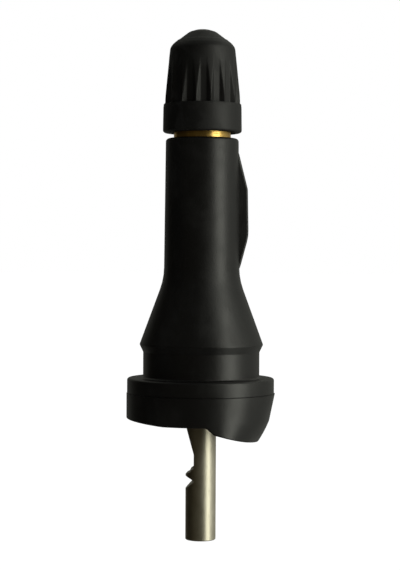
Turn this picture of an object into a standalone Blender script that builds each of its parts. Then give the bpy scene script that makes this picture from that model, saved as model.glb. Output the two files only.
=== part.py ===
"""Snap-in valve stem of a tyre pressure sensor: cap, brass stem, rubber body, sensor shaft and valve core.

The stem's axis is Z. The origin lies on it, in the plane of the flange's top face, which seats on the wheel rim.
+X is the side of the base that carries the lobe, and the rib on the neck.
"""

import math

import bmesh
import bpy
from mathutils import Matrix, Vector

for old in list(bpy.data.objects):
    bpy.data.objects.remove(old, do_unlink=True)

MM = 0.001
weld_distance = 0.001 * MM
cut_margin = 3.0 * MM

# Fits: the clearance left between one piece and the next
bonded = 0.15 * MM
press_fit = 0.15 * MM
thread_fit = 0.20 * MM
core_fit = 0.14 * MM
core_gap = 0.10 * MM
seal_gap = 0.25 * MM

# Rubber body, upwards from the flange's top face
plug_radius = 7.66 * MM
plug_height = 3.40 * MM
bulge_proud = 0.48 * MM
bulge_lip = 1.00 * MM
cone_height = 8.64 * MM
neck_height = 18.42 * MM
neck_wall = 1.77 * MM
neck_draft = 0.18 * MM
flare_fillet = 8.8 * MM
bulge_fillet = 0.30 * MM
plug_fillet = 0.30 * MM
rim_fillet = 0.30 * MM
neck_fillet = 0.45 * MM

# Flange and base, downwards from the flange's top face
flange_width = 2.02 * MM
split_depth = 1.92 * MM
split_groove = 0.12 * MM
base_depth = 5.75 * MM
base_fillet = 0.85 * MM

# Lobe on the +X side of the base
lobe_step_start = 0.60 * MM
lobe_step_run = 1.05 * MM
lobe_step_drop = 1.05 * MM
lobe_slope = math.radians(15.0)
lobe_draw_in = 3.65 * MM
lobe_draw_depth = 8.00 * MM
lobe_blend = (-0.35, 0.85)

# Rib on the +X side of the neck, measured from the neck's skin and from its lower end
rib_thickness = 1.30 * MM
rib_proud = 1.17 * MM
rib_foot = 1.20 * MM
rib_crest_low = 5.60 * MM
rib_crest_high = 12.20 * MM
rib_top = 17.20 * MM
rib_lean = 0.12 * MM
rib_corner = 1.50 * MM
rib_curve = 5.00 * MM

# Brass stem
thread_radius = 3.85 * MM
thread_length = 6.90 * MM
stem_above_rubber = 8.54 * MM
stem_chamfer = 0.60 * MM
relief_depth = 0.11 * MM
collar_depth = 2.00 * MM
stem_radius = 3.20 * MM
anchor_radius = 5.00 * MM
anchor_thickness = 1.40 * MM
anchor_cover = 2.15 * MM
anchor_fillet = 1.20 * MM
mouth_chamfer = 0.30 * MM
air_bore_radius = 1.30 * MM
socket_depth = 13.60 * MM
core_chamber_depth = 19.80 * MM

# Sensor shaft
shaft_radius = 2.00 * MM
shaft_bore_radius = 1.10 * MM
shaft_reach = 15.60 * MM
shaft_chamfer = 0.30 * MM

# Barbed notch on the shaft's -X side, downwards from the base
notch_start = 0.50 * MM
notch_ramp = 3.75 * MM
notch_flat = 1.60 * MM
notch_land = 0.93 * MM
tooth_root = 1.36 * MM
tooth_shoulder = 0.50 * MM
tooth_height = 1.40 * MM
tooth_slope = 0.05 * MM
tooth_back = 0.30 * MM
tooth_foot = 0.10 * MM
notch_corner = 0.20 * MM
vee_depth = 0.90 * MM
vee_height = 0.95 * MM

# Valve cap, upwards from its lower edge
cap_gap = 0.74 * MM
cap_height = 13.61 * MM
cap_wall = 1.14 * MM
collar_draft = 0.05 * MM
collar_height = 3.59 * MM
collar_step = 0.10 * MM
collar_slope = 0.20 * MM
shoulder_height = 11.57 * MM
shoulder_radius = 4.23 * MM
shoulder_fillet = 1.05 * MM
crown_radius = 2.99 * MM
crown_rise = 1.27 * MM
cap_edge = 0.35 * MM
cap_ceiling = 1.95 * MM
ceiling_step = 0.20 * MM
ceiling_fillet = 0.50 * MM
flute_count = 16
flute_end = 3.89 * MM
flute_floor = 0.70 * MM
flute_floor_radius = 4.42 * MM
flute_wall_angle = math.radians(50.0)
cap_clocking = math.radians(2.3)

# Ring seal in the cap
seal_thickness = 1.20 * MM
seal_outer = 3.45 * MM
seal_inner = 2.45 * MM
seal_edge = 0.15 * MM
pocket_drop = 0.05 * MM

# Valve core, measured from the narrow end of the stem's seat
core_depth = 7.80 * MM
core_thread_radius = 2.58 * MM
seat_height = 1.30 * MM
seat_radius = 2.20 * MM
gasket_height = 1.15 * MM
plug_length = 5.20 * MM
tang_height = 2.00 * MM
tang_width = 2.80 * MM
plug_bore = 1.15 * MM
plug_edge = 0.25 * MM
neck_radius = 1.60 * MM
neck_length = 2.60 * MM
barrel_radius = 1.90 * MM
barrel_length = 6.20 * MM
barrel_bore = 1.30 * MM
barrel_floor = 1.20 * MM
barrel_edge = 0.20 * MM
pin_radius = 0.60 * MM
pin_below_rim = 0.30 * MM
head_radius = 0.95 * MM
head_height = 0.50 * MM
head_fillet = 0.15 * MM
collar_radius = 1.10 * MM
pin_collar_height = 0.40 * MM
pin_collar_drop = 0.50 * MM
cup_radius = 1.75 * MM
cup_wall = 0.25 * MM
cup_edge = 0.15 * MM
cup_height = 1.00 * MM
cup_floor = 0.40 * MM
cup_drop = 1.70 * MM
foot_height = 0.30 * MM
spring_wire = 0.12 * MM
spring_turns = 8

# Smoothness of the turned shapes
FINE = 64
MEDIUM = 40
SMALL = 24
ARC_STEP = math.radians(30.0)

# Levels that several pieces share
bulge_tip_z = plug_height + bulge_lip
cone_top_z = bulge_tip_z + cone_height
neck_top_z = cone_top_z + neck_height
stem_top_z = neck_top_z + stem_above_rubber
cap_base_z = neck_top_z + cap_gap
anchor_base_z = -(base_depth - anchor_cover)
socket_top_z = anchor_base_z + socket_depth
shaft_end_z = -(base_depth + shaft_reach)
core_seat_z = stem_top_z - core_depth
spring_base_z = core_seat_z - barrel_length + barrel_floor + core_gap
pin_collar_z = core_seat_z + neck_length - pin_collar_height - pin_collar_drop
cup_base_z = core_seat_z - barrel_length - cup_drop

# Radii that follow from a neighbour and a fit
flange_radius = plug_radius + flange_width
neck_base_radius = stem_radius + neck_wall
neck_top_radius = neck_base_radius - neck_draft
relief_radius = thread_radius - relief_depth
cap_bore = thread_radius + thread_fit
cap_collar_radius = cap_bore + cap_wall
socket_radius = shaft_radius + press_fit
tapped_radius = core_thread_radius + core_fit

parts = bpy.data.collections.new("tyre_pressure_sensor_valve")
cutters = bpy.data.collections.new("cutters")
bpy.context.scene.collection.children.link(parts)
bpy.context.scene.collection.children.link(cutters)


def material(name, colour, roughness, metallic):
    """A Principled material with one colour."""
    made = bpy.data.materials.new(name)
    made.use_nodes = True
    shader = made.node_tree.nodes["Principled BSDF"]
    shader.inputs["Base Color"].default_value = (*colour, 1.0)
    shader.inputs["Roughness"].default_value = roughness
    shader.inputs["Metallic"].default_value = metallic
    made.diffuse_color = (*colour, 1.0)
    return made


def rounded(corners):
    """The outline through corners (radius, height, fillet), with each filleted corner drawn as an arc."""
    outline = []
    for index, (radius, height, fillet) in enumerate(corners):
        corner = Vector((radius, height))
        if fillet == 0 or index in (0, len(corners) - 1):
            outline.append(corner)
            continue
        back = Vector(corners[index - 1][:2]) - corner
        ahead = Vector(corners[index + 1][:2]) - corner
        half = back.angle(ahead) / 2
        reach = min(fillet / math.tan(half), 0.48 * back.length, 0.48 * ahead.length)
        middle = (back.normalized() + ahead.normalized()).normalized()
        centre = corner + middle * (reach / math.cos(half))
        first = corner + back.normalized() * reach - centre
        last = corner + ahead.normalized() * reach - centre
        sweep = math.pi - 2 * half
        if first.x * last.y - first.y * last.x < 0:
            sweep = -sweep
        steps = max(1, math.ceil(abs(sweep) / ARC_STEP))
        for step in range(steps + 1):
            outline.append(centre + Matrix.Rotation(sweep * step / steps, 2) @ first)
    return outline


def place(piece, collection, height=0.0):
    """Link an object to its collection, with its origin on the stem's axis at the given height."""
    collection.objects.link(piece)
    piece.location = (0.0, 0.0, height)
    if collection is cutters:
        piece.hide_render = True
        piece.display_type = "WIRE"
    return piece


def turned(name, corners, segments, collection=parts, height=0.0):
    """A turned solid. Corners run down the outer side, and back up the bore unless both ends are on the axis."""
    outline = rounded(corners)
    count = len(outline)
    edges = [(index, index + 1) for index in range(count - 1)]
    if corners[0][0] > 0:
        edges.append((count - 1, 0))
    mesh = bpy.data.meshes.new(name)
    mesh.from_pydata([(point.x, 0.0, point.y) for point in outline], edges, [])
    piece = bpy.data.objects.new(name, mesh)
    screw = piece.modifiers.new("Turn", "SCREW")
    screw.axis = "Z"
    screw.steps = segments
    screw.render_steps = segments
    screw.use_merge_vertices = True
    screw.merge_threshold = weld_distance
    return place(piece, collection, height)


def weld(mesh):
    """Join the loose caps of a curve's mesh to its walls."""
    shape = bmesh.new()
    shape.from_mesh(mesh)
    bmesh.ops.remove_doubles(shape, verts=shape.verts, dist=weld_distance)
    shape.to_mesh(mesh)
    shape.free()


def extruded(name, loops, thickness):
    """A prism cut from flat outlines in the XY plane, centred on it. A second loop inside the first is a hole."""
    curve = bpy.data.curves.new(name, "CURVE")
    curve.dimensions = "2D"
    curve.fill_mode = "BOTH"
    curve.extrude = thickness / 2
    for loop in loops:
        spline = curve.splines.new("POLY")
        spline.points.add(len(loop) - 1)
        for point, (x, y) in zip(spline.points, loop):
            point.co = (x, y, 0.0, 1.0)
        spline.use_cyclic_u = True
    outline = bpy.data.objects.new(name, curve)
    bpy.context.scene.collection.objects.link(outline)
    bpy.context.view_layer.update()
    evaluated = outline.evaluated_get(bpy.context.evaluated_depsgraph_get())
    mesh = bpy.data.meshes.new_from_object(evaluated)
    bpy.data.objects.remove(outline)
    weld(mesh)
    return bpy.data.objects.new(name, mesh)


def upright(piece):
    """Turn a prism drawn in XY so that its outline stands in the XZ plane."""
    piece.data.transform(Matrix.Rotation(math.radians(90.0), 4, "X"))
    return piece


def combine(piece, tool, operation):
    """Join a tool to a piece, or cut it away."""
    boolean = piece.modifiers.new(tool.name, "BOOLEAN")
    boolean.object = tool
    boolean.operation = operation
    boolean.solver = "EXACT"


def settle(piece, finish):
    """Make the modifiers real, shade the round faces smooth and give the piece its material."""
    bpy.context.view_layer.update()
    evaluated = piece.evaluated_get(bpy.context.evaluated_depsgraph_get())
    mesh = bpy.data.meshes.new_from_object(evaluated)
    piece.modifiers.clear()
    piece.data = mesh
    mesh.name = piece.name
    mesh.shade_smooth()
    mesh.set_sharp_from_angle(angle=math.radians(32.0))
    mesh.materials.clear()
    mesh.materials.append(finish)


def make_stem(brass):
    """Brass stem: cap thread, collar in the rubber, barrel, anchor flange, and the bore for the core and shaft."""
    thread_end_z = stem_top_z - thread_length
    collar_end_z = neck_top_z - collar_depth
    mouth = tapped_radius + mouth_chamfer
    corners = [
        (thread_radius - stem_chamfer, stem_top_z, 0),
        (thread_radius, stem_top_z - stem_chamfer, 0),
        (thread_radius, thread_end_z, 0),
        (relief_radius, thread_end_z - relief_depth, 0),
        (relief_radius, collar_end_z, 0),
        (stem_radius, collar_end_z - (relief_radius - stem_radius), 0),
        (stem_radius, anchor_base_z + anchor_thickness + (anchor_radius - stem_radius), anchor_fillet),
        (anchor_radius, anchor_base_z + anchor_thickness, 0),
        (anchor_radius, anchor_base_z, 0),
        (socket_radius, anchor_base_z, 0),
        (socket_radius, socket_top_z, 0),
        (air_bore_radius, socket_top_z, 0),
        (air_bore_radius, stem_top_z - core_chamber_depth - (seat_radius - air_bore_radius), 0),
        (seat_radius, stem_top_z - core_chamber_depth, 0),
        (seat_radius, core_seat_z, 0),
        (tapped_radius, core_seat_z + seat_height, 0),
        (tapped_radius, stem_top_z - mouth_chamfer, 0),
        (mouth, stem_top_z, 0),
    ]
    stem = turned("valve_stem", corners, MEDIUM)
    settle(stem, brass)


def rubber_bore():
    """The hollow in the rubber: the stem's outside and the shaft's, each with the bonded fit."""
    collar_end_z = neck_top_z - collar_depth
    flare_z = anchor_base_z + anchor_thickness
    corners = [
        (0.0, neck_top_z + cut_margin, 0),
        (relief_radius + bonded, neck_top_z + cut_margin, 0),
        (relief_radius + bonded, collar_end_z - bonded, 0),
        (stem_radius + bonded, collar_end_z - bonded - (relief_radius - stem_radius), 0),
        (stem_radius + bonded, flare_z + (anchor_radius - stem_radius) + bonded, anchor_fillet),
        (anchor_radius + bonded, flare_z + bonded, 0),
        (anchor_radius + bonded, anchor_base_z - bonded, 0),
        (shaft_radius + bonded, anchor_base_z - bonded, 0),
        (shaft_radius + bonded, shaft_end_z, 0),
        (0.0, shaft_end_z, 0),
    ]
    return turned("rubber_bore", corners, MEDIUM, cutters)


def wall_radius(angle, height):
    """Radius of the base's wall: round on the -X side, drawn in towards the lobe's foot on the +X side."""
    start, end = lobe_blend
    share = min(max((math.cos(angle) - start) / (end - start), 0.0), 1.0)
    depth = max(-split_depth - split_groove - height, 0.0) / lobe_draw_depth
    return flange_radius - share * share * (3 - 2 * share) * lobe_draw_in * depth * depth


def underside_height(along):
    """Height of the base's underside at a place along X: flat, a short ramp, and the slope under the lobe."""
    if along < lobe_step_start:
        return -base_depth
    ramp = min((along - lobe_step_start) / lobe_step_run, 1.0)
    beyond = max(along - lobe_step_start - lobe_step_run, 0.0)
    return -base_depth - ramp * lobe_step_drop - beyond * math.tan(lobe_slope)


def foot_corner(angle):
    """Radius and height at which the base's wall would meet its underside if that edge weren't rounded."""
    height = -base_depth
    for turn in range(6):
        height = underside_height(wall_radius(angle, height) * math.cos(angle))
    return wall_radius(angle, height), height


def base_angles():
    """Directions of the base's rows of points. Two on each side are moved onto the ends of the ramp."""
    angles = [2 * math.pi * index / FINE for index in range(FINE)]
    for end in (lobe_step_start, lobe_step_start + lobe_step_run):
        angle = math.pi / 2
        for turn in range(6):
            angle = math.acos(end / (foot_corner(angle)[0] - base_fillet))
        nearest = round(angle / (2 * math.pi / FINE))
        angles[nearest] = angle
        angles[-nearest] = 2 * math.pi - angle
    return angles


def lobed_base():
    """Lower half of the flange with its lobe, from the split line to the rounded edge of its foot."""
    split_z = -split_depth - split_groove
    wall_steps = 3
    fillet_steps = 3
    shape = bmesh.new()
    columns = []
    for angle in base_angles():
        corner_radius, corner_z = foot_corner(angle)
        start_z = corner_z + base_fillet
        end_radius = corner_radius - base_fillet
        points = [
            (flange_radius - split_groove, -split_depth / 4),
            (flange_radius - split_groove, -split_depth + split_groove / 4),
        ]
        for step in range(wall_steps):
            height = split_z + (start_z - split_z) * step / wall_steps
            points.append((wall_radius(angle, height), height))
        start = Vector((wall_radius(angle, start_z), start_z))
        corner = Vector((corner_radius, corner_z))
        end = Vector((end_radius, underside_height(end_radius * math.cos(angle))))
        for step in range(fillet_steps + 1):
            share = step / fillet_steps
            points.append(start.lerp(corner, share).lerp(corner.lerp(end, share), share))
        around = (math.cos(angle), math.sin(angle))
        columns.append([shape.verts.new((point[0] * around[0], point[0] * around[1], point[1])) for point in points])
    for index, column in enumerate(columns):
        beside = columns[(index + 1) % FINE]
        for row in range(len(column) - 1):
            shape.faces.new((column[row], column[row + 1], beside[row + 1], beside[row]))
    shape.faces.new([column[0] for column in columns])
    foot = [column[-1] for column in columns]
    half = FINE // 2
    shape.faces.new((foot[0], foot[-1], foot[1]))
    for index in range(1, half - 1):
        shape.faces.new((foot[index], foot[-index], foot[-index - 1], foot[index + 1]))
    shape.faces.new((foot[half - 1], foot[half + 1], foot[half]))
    mesh = bpy.data.meshes.new("lobed_base")
    shape.to_mesh(mesh)
    shape.free()
    return place(bpy.data.objects.new("lobed_base", mesh), cutters)


def neck_rib():
    """Flat rib that stands out of the neck on the +X side: straight ramp, upright crest, curved foot."""
    crest = neck_base_radius + rib_proud
    root = stem_radius + neck_wall / 2
    corners = [
        (root, cone_top_z + rib_top, 0),
        (neck_top_radius, cone_top_z + rib_top, 0),
        (crest - rib_lean, cone_top_z + rib_crest_high, rib_corner),
        (crest, cone_top_z + rib_crest_low, rib_curve),
        (neck_base_radius, cone_top_z + rib_foot, rib_curve),
        (root, cone_top_z, 0),
    ]
    outline = [(point.x, point.y) for point in rounded(corners)]
    return place(upright(extruded("neck_rib", [outline], rib_thickness)), cutters)


def make_rubber(rubber):
    """Rubber body: one moulding of neck, cone, snap bulge, plug, flange, lobed base and rib."""
    corners = [
        (0.0, neck_top_z, 0),
        (neck_top_radius, neck_top_z, neck_fillet),
        (neck_base_radius, cone_top_z, flare_fillet),
        (plug_radius + bulge_proud, bulge_tip_z, bulge_fillet),
        (plug_radius, plug_height, plug_fillet),
        (plug_radius, 0.0, plug_fillet),
        (flange_radius, 0.0, rim_fillet),
        (flange_radius, -split_depth, 0),
        (0.0, -split_depth, 0),
    ]
    body = turned("rubber_body", corners, FINE)
    combine(body, lobed_base(), "UNION")
    combine(body, neck_rib(), "UNION")
    combine(body, rubber_bore(), "DIFFERENCE")
    settle(body, rubber)


def make_shaft(steel):
    """Sensor shaft: a tube pressed into the stem, with the barbed notch that opens its bore."""
    top = socket_top_z - press_fit
    corners = [
        (shaft_radius - shaft_chamfer, top, 0),
        (shaft_radius, top - shaft_chamfer, 0),
        (shaft_radius, shaft_end_z + shaft_chamfer, 0),
        (shaft_radius - shaft_chamfer, shaft_end_z, 0),
        (shaft_bore_radius + shaft_chamfer, shaft_end_z, 0),
        (shaft_bore_radius, shaft_end_z + shaft_chamfer, 0),
        (shaft_bore_radius, top, 0),
    ]
    shaft = turned("sensor_shaft", corners, MEDIUM)
    ramp_z = -(base_depth + notch_start)
    floor_z = ramp_z - notch_ramp
    tooth_z = floor_z - notch_flat
    vee_z = tooth_z - tooth_height - vee_height / 2
    far = 2 * shaft_radius
    corners = [
        (-far, ramp_z + shaft_radius / 2, 0),
        (-shaft_radius, ramp_z, 0),
        (-notch_land, floor_z, 0),
        (-notch_land, tooth_z, notch_corner),
        (-tooth_root, tooth_z - tooth_slope, 0),
        (-shaft_radius, tooth_z - tooth_shoulder, tooth_back),
        (-shaft_radius - notch_corner, tooth_z - tooth_height + tooth_back, 0),
        (-shaft_radius + tooth_foot, tooth_z - tooth_height, notch_corner),
        (-shaft_radius + vee_depth, vee_z, 0),
        (-shaft_radius, vee_z - vee_height, 0),
        (-far, vee_z - vee_height - notch_corner, 0),
    ]
    outline = [(point.x, point.y) for point in rounded(corners)]
    notch = place(upright(extruded("shaft_notch", [outline], 4 * shaft_radius)), cutters)
    combine(shaft, notch, "DIFFERENCE")
    settle(shaft, steel)


def make_cap(plastic):
    """Sealing cap: domed crown, sloped shoulder, fluted grip, plain collar, and a stepped bore for the seal."""
    crown_edge_z = cap_height - crown_rise
    dome_radius = (crown_radius ** 2 + crown_rise ** 2) / (2 * crown_rise)
    dome_angle = math.asin(crown_radius / dome_radius)
    steps = 5
    corners = []
    for step in range(steps + 1):
        angle = dome_angle * step / steps
        corners.append((dome_radius * math.sin(angle), cap_height - dome_radius * (1 - math.cos(angle)), 0))
    grip_radius = cap_collar_radius - collar_draft - collar_step
    thread_top = stem_top_z - cap_base_z + seal_gap - pocket_drop
    pocket = seal_outer + press_fit
    seal_top = stem_top_z - cap_base_z + seal_gap + seal_thickness
    corners += [
        (shoulder_radius, shoulder_height, shoulder_fillet),
        (grip_radius, collar_height + collar_slope, 0),
        (cap_collar_radius - collar_draft, collar_height, 0),
        (cap_collar_radius, 0.0, cap_edge),
        (cap_bore + cap_edge, 0.0, 0),
        (cap_bore, cap_edge, 0),
        (cap_bore, thread_top, 0),
        (pocket, thread_top, 0),
        (pocket, seal_top + press_fit, 0),
        (seal_inner, seal_top + press_fit, 0),
        (seal_inner - ceiling_step, cap_height - cap_ceiling, ceiling_fillet),
        (0.0, cap_height - cap_ceiling, 0),
    ]
    cap = turned("valve_cap", corners, FINE, height=cap_base_z)
    grip = []
    half_pitch = math.pi / flute_count
    slope = math.tan(flute_wall_angle)
    floor_half = flute_floor / 2
    rise = (math.tan(half_pitch) * flute_floor_radius - floor_half) / (slope - math.tan(half_pitch))
    crest = math.hypot(flute_floor_radius + rise, floor_half + rise * slope)
    for index in range(flute_count):
        centre = -math.pi / 2 + 2 * half_pitch * index
        for side in (-1, 1):
            angle = centre + side * math.atan(floor_half / flute_floor_radius)
            reach = math.hypot(flute_floor_radius, floor_half)
            grip.append((reach * math.cos(angle), reach * math.sin(angle)))
        angle = centre + half_pitch
        grip.append((crest * math.cos(angle), crest * math.sin(angle)))
    far = 2 * cap_collar_radius
    around = [(far * math.cos(math.pi * k / 8), far * math.sin(math.pi * k / 8)) for k in range(16)]
    length = cap_height - flute_end
    flutes = place(extruded("cap_flutes", [around, grip], length), cutters)
    flutes.data.transform(Matrix.Translation((0.0, 0.0, flute_end + length / 2)))
    flutes.location.z = cap_base_z
    combine(cap, flutes, "DIFFERENCE")
    cap.rotation_euler.z = cap_clocking
    flutes.rotation_euler.z = cap_clocking
    settle(cap, plastic)
    return cap


def make_cap_seal(rubber):
    """Ring seal that the cap presses on the end of the stem."""
    corners = [
        (seal_outer - seal_edge, seal_thickness, 0),
        (seal_outer, seal_thickness - seal_edge, 0),
        (seal_outer, seal_edge, 0),
        (seal_outer - seal_edge, 0.0, 0),
        (seal_inner, 0.0, 0),
        (seal_inner, seal_thickness, 0),
    ]
    seal = turned("cap_seal", corners, MEDIUM, height=stem_top_z + seal_gap)
    settle(seal, rubber)
    return seal


def make_core_plug(brass):
    """Core plug: threaded body that turns on the barrel's neck, with two flats for the core key."""
    base = seat_height + core_gap
    top = base + plug_length
    edge = plug_edge
    recess = neck_radius + core_fit
    recess_top = neck_length + core_fit
    corners = [
        (core_thread_radius - edge, top, 0),
        (core_thread_radius, top - edge, 0),
        (core_thread_radius, base + edge, 0),
        (core_thread_radius - edge, base, 0),
        (recess, base, 0),
        (recess, recess_top, 0),
        (plug_bore, recess_top, 0),
        (plug_bore, top, 0),
    ]
    plug = turned("core_plug", corners, SMALL, height=core_seat_z)
    far = 2 * core_thread_radius
    half = tang_width / 2
    for name, side in (("left_flat", -1), ("right_flat", 1)):
        outline = [
            (side * half, top - tang_height),
            (side * far, top - tang_height),
            (side * far, top + edge),
            (side * half, top + edge),
        ]
        if side > 0:
            outline.reverse()
        flat = place(upright(extruded(name, [outline], 2 * far)), cutters, core_seat_z)
        combine(plug, flat, "DIFFERENCE")
    settle(plug, brass)


def make_core_barrel(brass):
    """Core barrel: neck for the plug, shoulder for the gasket, bore for the spring, and a lip for the cup seal."""
    edge = barrel_edge
    hole = pin_radius + 2 * core_fit
    corners = [
        (neck_radius, neck_length, 0),
        (neck_radius, 0.0, 0),
        (barrel_radius, 0.0, 0),
        (barrel_radius, -barrel_length + edge, 0),
        (barrel_radius - 2 * edge, -barrel_length, 0),
        (hole + edge, -barrel_length, 0),
        (hole, -barrel_length + edge, 0),
        (hole, -barrel_length + barrel_floor, 0),
        (barrel_bore, -barrel_length + barrel_floor, 0),
        (barrel_bore, neck_length, 0),
    ]
    barrel = turned("core_barrel", corners, SMALL, height=core_seat_z)
    settle(barrel, brass)


def make_core_gasket(rubber):
    """Tapered gasket between the barrel's shoulder and the stem's seat."""
    base = core_gap
    taper = (tapped_radius - seat_radius) / seat_height
    low = seat_radius - core_fit + taper * base
    corners = [
        (low + taper * gasket_height, base + gasket_height, 0),
        (low, base, 0),
        (neck_radius + core_fit, base, 0),
        (neck_radius + core_fit, base + gasket_height, 0),
    ]
    gasket = turned("core_gasket", corners, SMALL, height=core_seat_z)
    settle(gasket, rubber)


def make_core_pin(steel):
    """Core pin: flat head in the stem's mouth, spring collar, and a riveted foot under the cup."""
    top = stem_top_z - pin_below_rim
    foot_top = cup_base_z - core_gap
    corners = [
        (0.0, top, 0),
        (head_radius, top, head_fillet),
        (head_radius, top - head_height, 0),
        (pin_radius, top - head_height - (head_radius - pin_radius), 0),
        (pin_radius, pin_collar_z + pin_collar_height, 0),
        (collar_radius, pin_collar_z + pin_collar_height, 0),
        (collar_radius, pin_collar_z, 0),
        (pin_radius, pin_collar_z, 0),
        (pin_radius, foot_top, 0),
        (head_radius, foot_top, 0),
        (head_radius, foot_top - foot_height / 2, 0),
        (pin_radius, foot_top - foot_height, 0),
        (0.0, foot_top - foot_height, 0),
    ]
    pin = turned("core_pin", corners, SMALL)
    settle(pin, steel)
    return pin


def make_core_cup(brass):
    """Core cup: a shallow brass cup on the pin's foot."""
    hole = pin_radius + core_fit
    edge = cup_edge
    corners = [
        (cup_radius, cup_height, 0),
        (cup_radius, edge, 0),
        (cup_radius - edge, 0.0, 0),
        (hole, 0.0, 0),
        (hole, cup_floor, 0),
        (cup_radius - cup_wall, cup_floor, 0),
        (cup_radius - cup_wall, cup_height, 0),
    ]
    cup = turned("core_cup", corners, SMALL, height=cup_base_z)
    settle(cup, brass)
    return cup


def make_core_cup_seal(rubber):
    """Rubber washer that fills the cup and closes the barrel's lower end."""
    outer = cup_radius - cup_wall - core_fit
    hole = pin_radius + core_fit
    height = cup_drop - cup_floor - 2 * core_gap
    corners = [
        (outer, height, 0),
        (outer, 0.0, 0),
        (hole, 0.0, 0),
        (hole, height, 0),
    ]
    seal = turned("core_cup_seal", corners, SMALL, height=cup_base_z + cup_floor + core_gap)
    settle(seal, rubber)
    return seal


def make_core_spring(steel):
    """Return spring: open coils between the barrel's floor and the pin's collar, with closed end turns."""
    mean = (pin_radius + barrel_bore) / 2
    low = spring_base_z + spring_wire
    high = pin_collar_z - core_gap - spring_wire
    closed = 2.1 * spring_wire
    open_turns = spring_turns - 2
    per_turn = 10
    curve = bpy.data.curves.new("core_spring", "CURVE")
    curve.dimensions = "3D"
    curve.bevel_depth = spring_wire
    curve.bevel_resolution = 2
    curve.use_fill_caps = True
    spline = curve.splines.new("POLY")
    spline.points.add(spring_turns * per_turn)
    for index, point in enumerate(spline.points):
        turns = index / per_turn
        rise = min(turns, 1.0) * closed + max(turns - spring_turns + 1, 0.0) * closed
        rise += min(max(turns - 1.0, 0.0), open_turns) / open_turns * (high - low - 2 * closed)
        angle = 2 * math.pi * turns
        point.co = (mean * math.cos(angle), mean * math.sin(angle), low + rise, 1.0)
    guide = bpy.data.objects.new("spring_guide", curve)
    bpy.context.scene.collection.objects.link(guide)
    bpy.context.view_layer.update()
    mesh = bpy.data.meshes.new_from_object(guide.evaluated_get(bpy.context.evaluated_depsgraph_get()))
    bpy.data.objects.remove(guide)
    weld(mesh)
    spring = place(bpy.data.objects.new("core_spring", mesh), parts)
    settle(spring, steel)


def hang(name, pieces):
    """Hang pieces that move together on an empty that lies on their joint's axis."""
    axis = bpy.data.objects.new(name, None)
    axis.empty_display_size = anchor_radius
    parts.objects.link(axis)
    for piece in pieces:
        piece.parent = axis


black_plastic = material("black_plastic", (0.008, 0.008, 0.008), 0.42, 0.0)
black_rubber = material("black_rubber", (0.008, 0.008, 0.008), 0.50, 0.0)
seal_rubber = material("seal_rubber", (0.035, 0.035, 0.036), 0.65, 0.0)
brass = material("brass", (0.80, 0.58, 0.24), 0.28, 1.0)
core_brass = material("core_brass", (0.76, 0.56, 0.27), 0.35, 1.0)
nickel = material("nickel", (0.66, 0.61, 0.53), 0.30, 1.0)
pin_steel = material("pin_steel", (0.62, 0.60, 0.56), 0.30, 1.0)
spring_steel = material("spring_steel", (0.55, 0.55, 0.56), 0.30, 1.0)
gasket_red = material("gasket_red", (0.45, 0.06, 0.04), 0.60, 0.0)

make_rubber(black_rubber)
make_stem(brass)
make_shaft(nickel)
make_core_plug(core_brass)
make_core_barrel(core_brass)
make_core_gasket(gasket_red)
make_core_spring(spring_steel)
hang("pin_axis", [make_core_pin(pin_steel), make_core_cup(core_brass), make_core_cup_seal(seal_rubber)])
hang("cap_axis", [make_cap(black_plastic), make_cap_seal(seal_rubber)])
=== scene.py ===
import math

import bpy
from mathutils import Matrix, Vector


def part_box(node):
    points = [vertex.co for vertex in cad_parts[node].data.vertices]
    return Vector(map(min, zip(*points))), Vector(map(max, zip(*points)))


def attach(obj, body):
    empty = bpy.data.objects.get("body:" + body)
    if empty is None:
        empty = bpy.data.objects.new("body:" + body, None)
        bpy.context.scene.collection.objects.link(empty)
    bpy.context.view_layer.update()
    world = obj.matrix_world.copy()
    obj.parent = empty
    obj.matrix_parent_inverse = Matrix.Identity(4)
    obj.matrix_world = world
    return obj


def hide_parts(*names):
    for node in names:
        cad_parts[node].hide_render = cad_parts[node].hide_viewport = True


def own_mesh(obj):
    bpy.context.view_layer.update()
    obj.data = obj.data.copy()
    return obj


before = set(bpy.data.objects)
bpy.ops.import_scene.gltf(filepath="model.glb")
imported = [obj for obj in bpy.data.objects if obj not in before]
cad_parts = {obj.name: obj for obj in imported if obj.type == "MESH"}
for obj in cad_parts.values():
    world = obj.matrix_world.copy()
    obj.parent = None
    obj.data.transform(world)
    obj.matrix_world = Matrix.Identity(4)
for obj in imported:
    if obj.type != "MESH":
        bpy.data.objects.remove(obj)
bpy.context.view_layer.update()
MM = 0.001

# Sensor shaft. A steel tube with a dull nickel plating, drawn to size and pressed into the foot of the stem.
# The barbed notch on its left side is milled through to the bore, for the clip of the sensor's case.
shaft_low, shaft_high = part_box("sensor_shaft")
shaft_radius = shaft_high.y
shaft_bore = 1.10 * MM
shaft_edge = 0.30 * MM
shaft_tip_edge = 0.10 * MM
shaft_segments = 192
fine_fillet = 0.05 * MM
small_fillet = 0.10 * MM
base_z = -5.75 * MM
notch_start = 0.50 * MM
notch_ramp = 3.75 * MM
notch_flat = 1.88 * MM
notch_land = 0.93 * MM
notch_corner = 0.20 * MM
tooth_root = 1.21 * MM
tooth_slope = 0.13 * MM
tooth_step = 1.42 * MM
tooth_step_height = 0.50 * MM
tooth_back = 1.72 * MM
tooth_back_height = 0.62 * MM
tooth_shoulder = 0.85 * MM
tooth_foot = 0.10 * MM
tooth_height = 1.06 * MM
vee_depth = 1.17 * MM
vee_height = 1.10 * MM
nickel_dark = (0.58, 0.545, 0.44)
nickel_light = (0.66, 0.625, 0.52)
nickel_line = 0.09 * MM
nickel_cloud = 2.6 * MM
nickel_grain = 0.16 * MM
nickel_speck = 0.45 * MM
nickel_relief = 0.008 * MM
weld_distance = 0.0005 * MM
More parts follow.
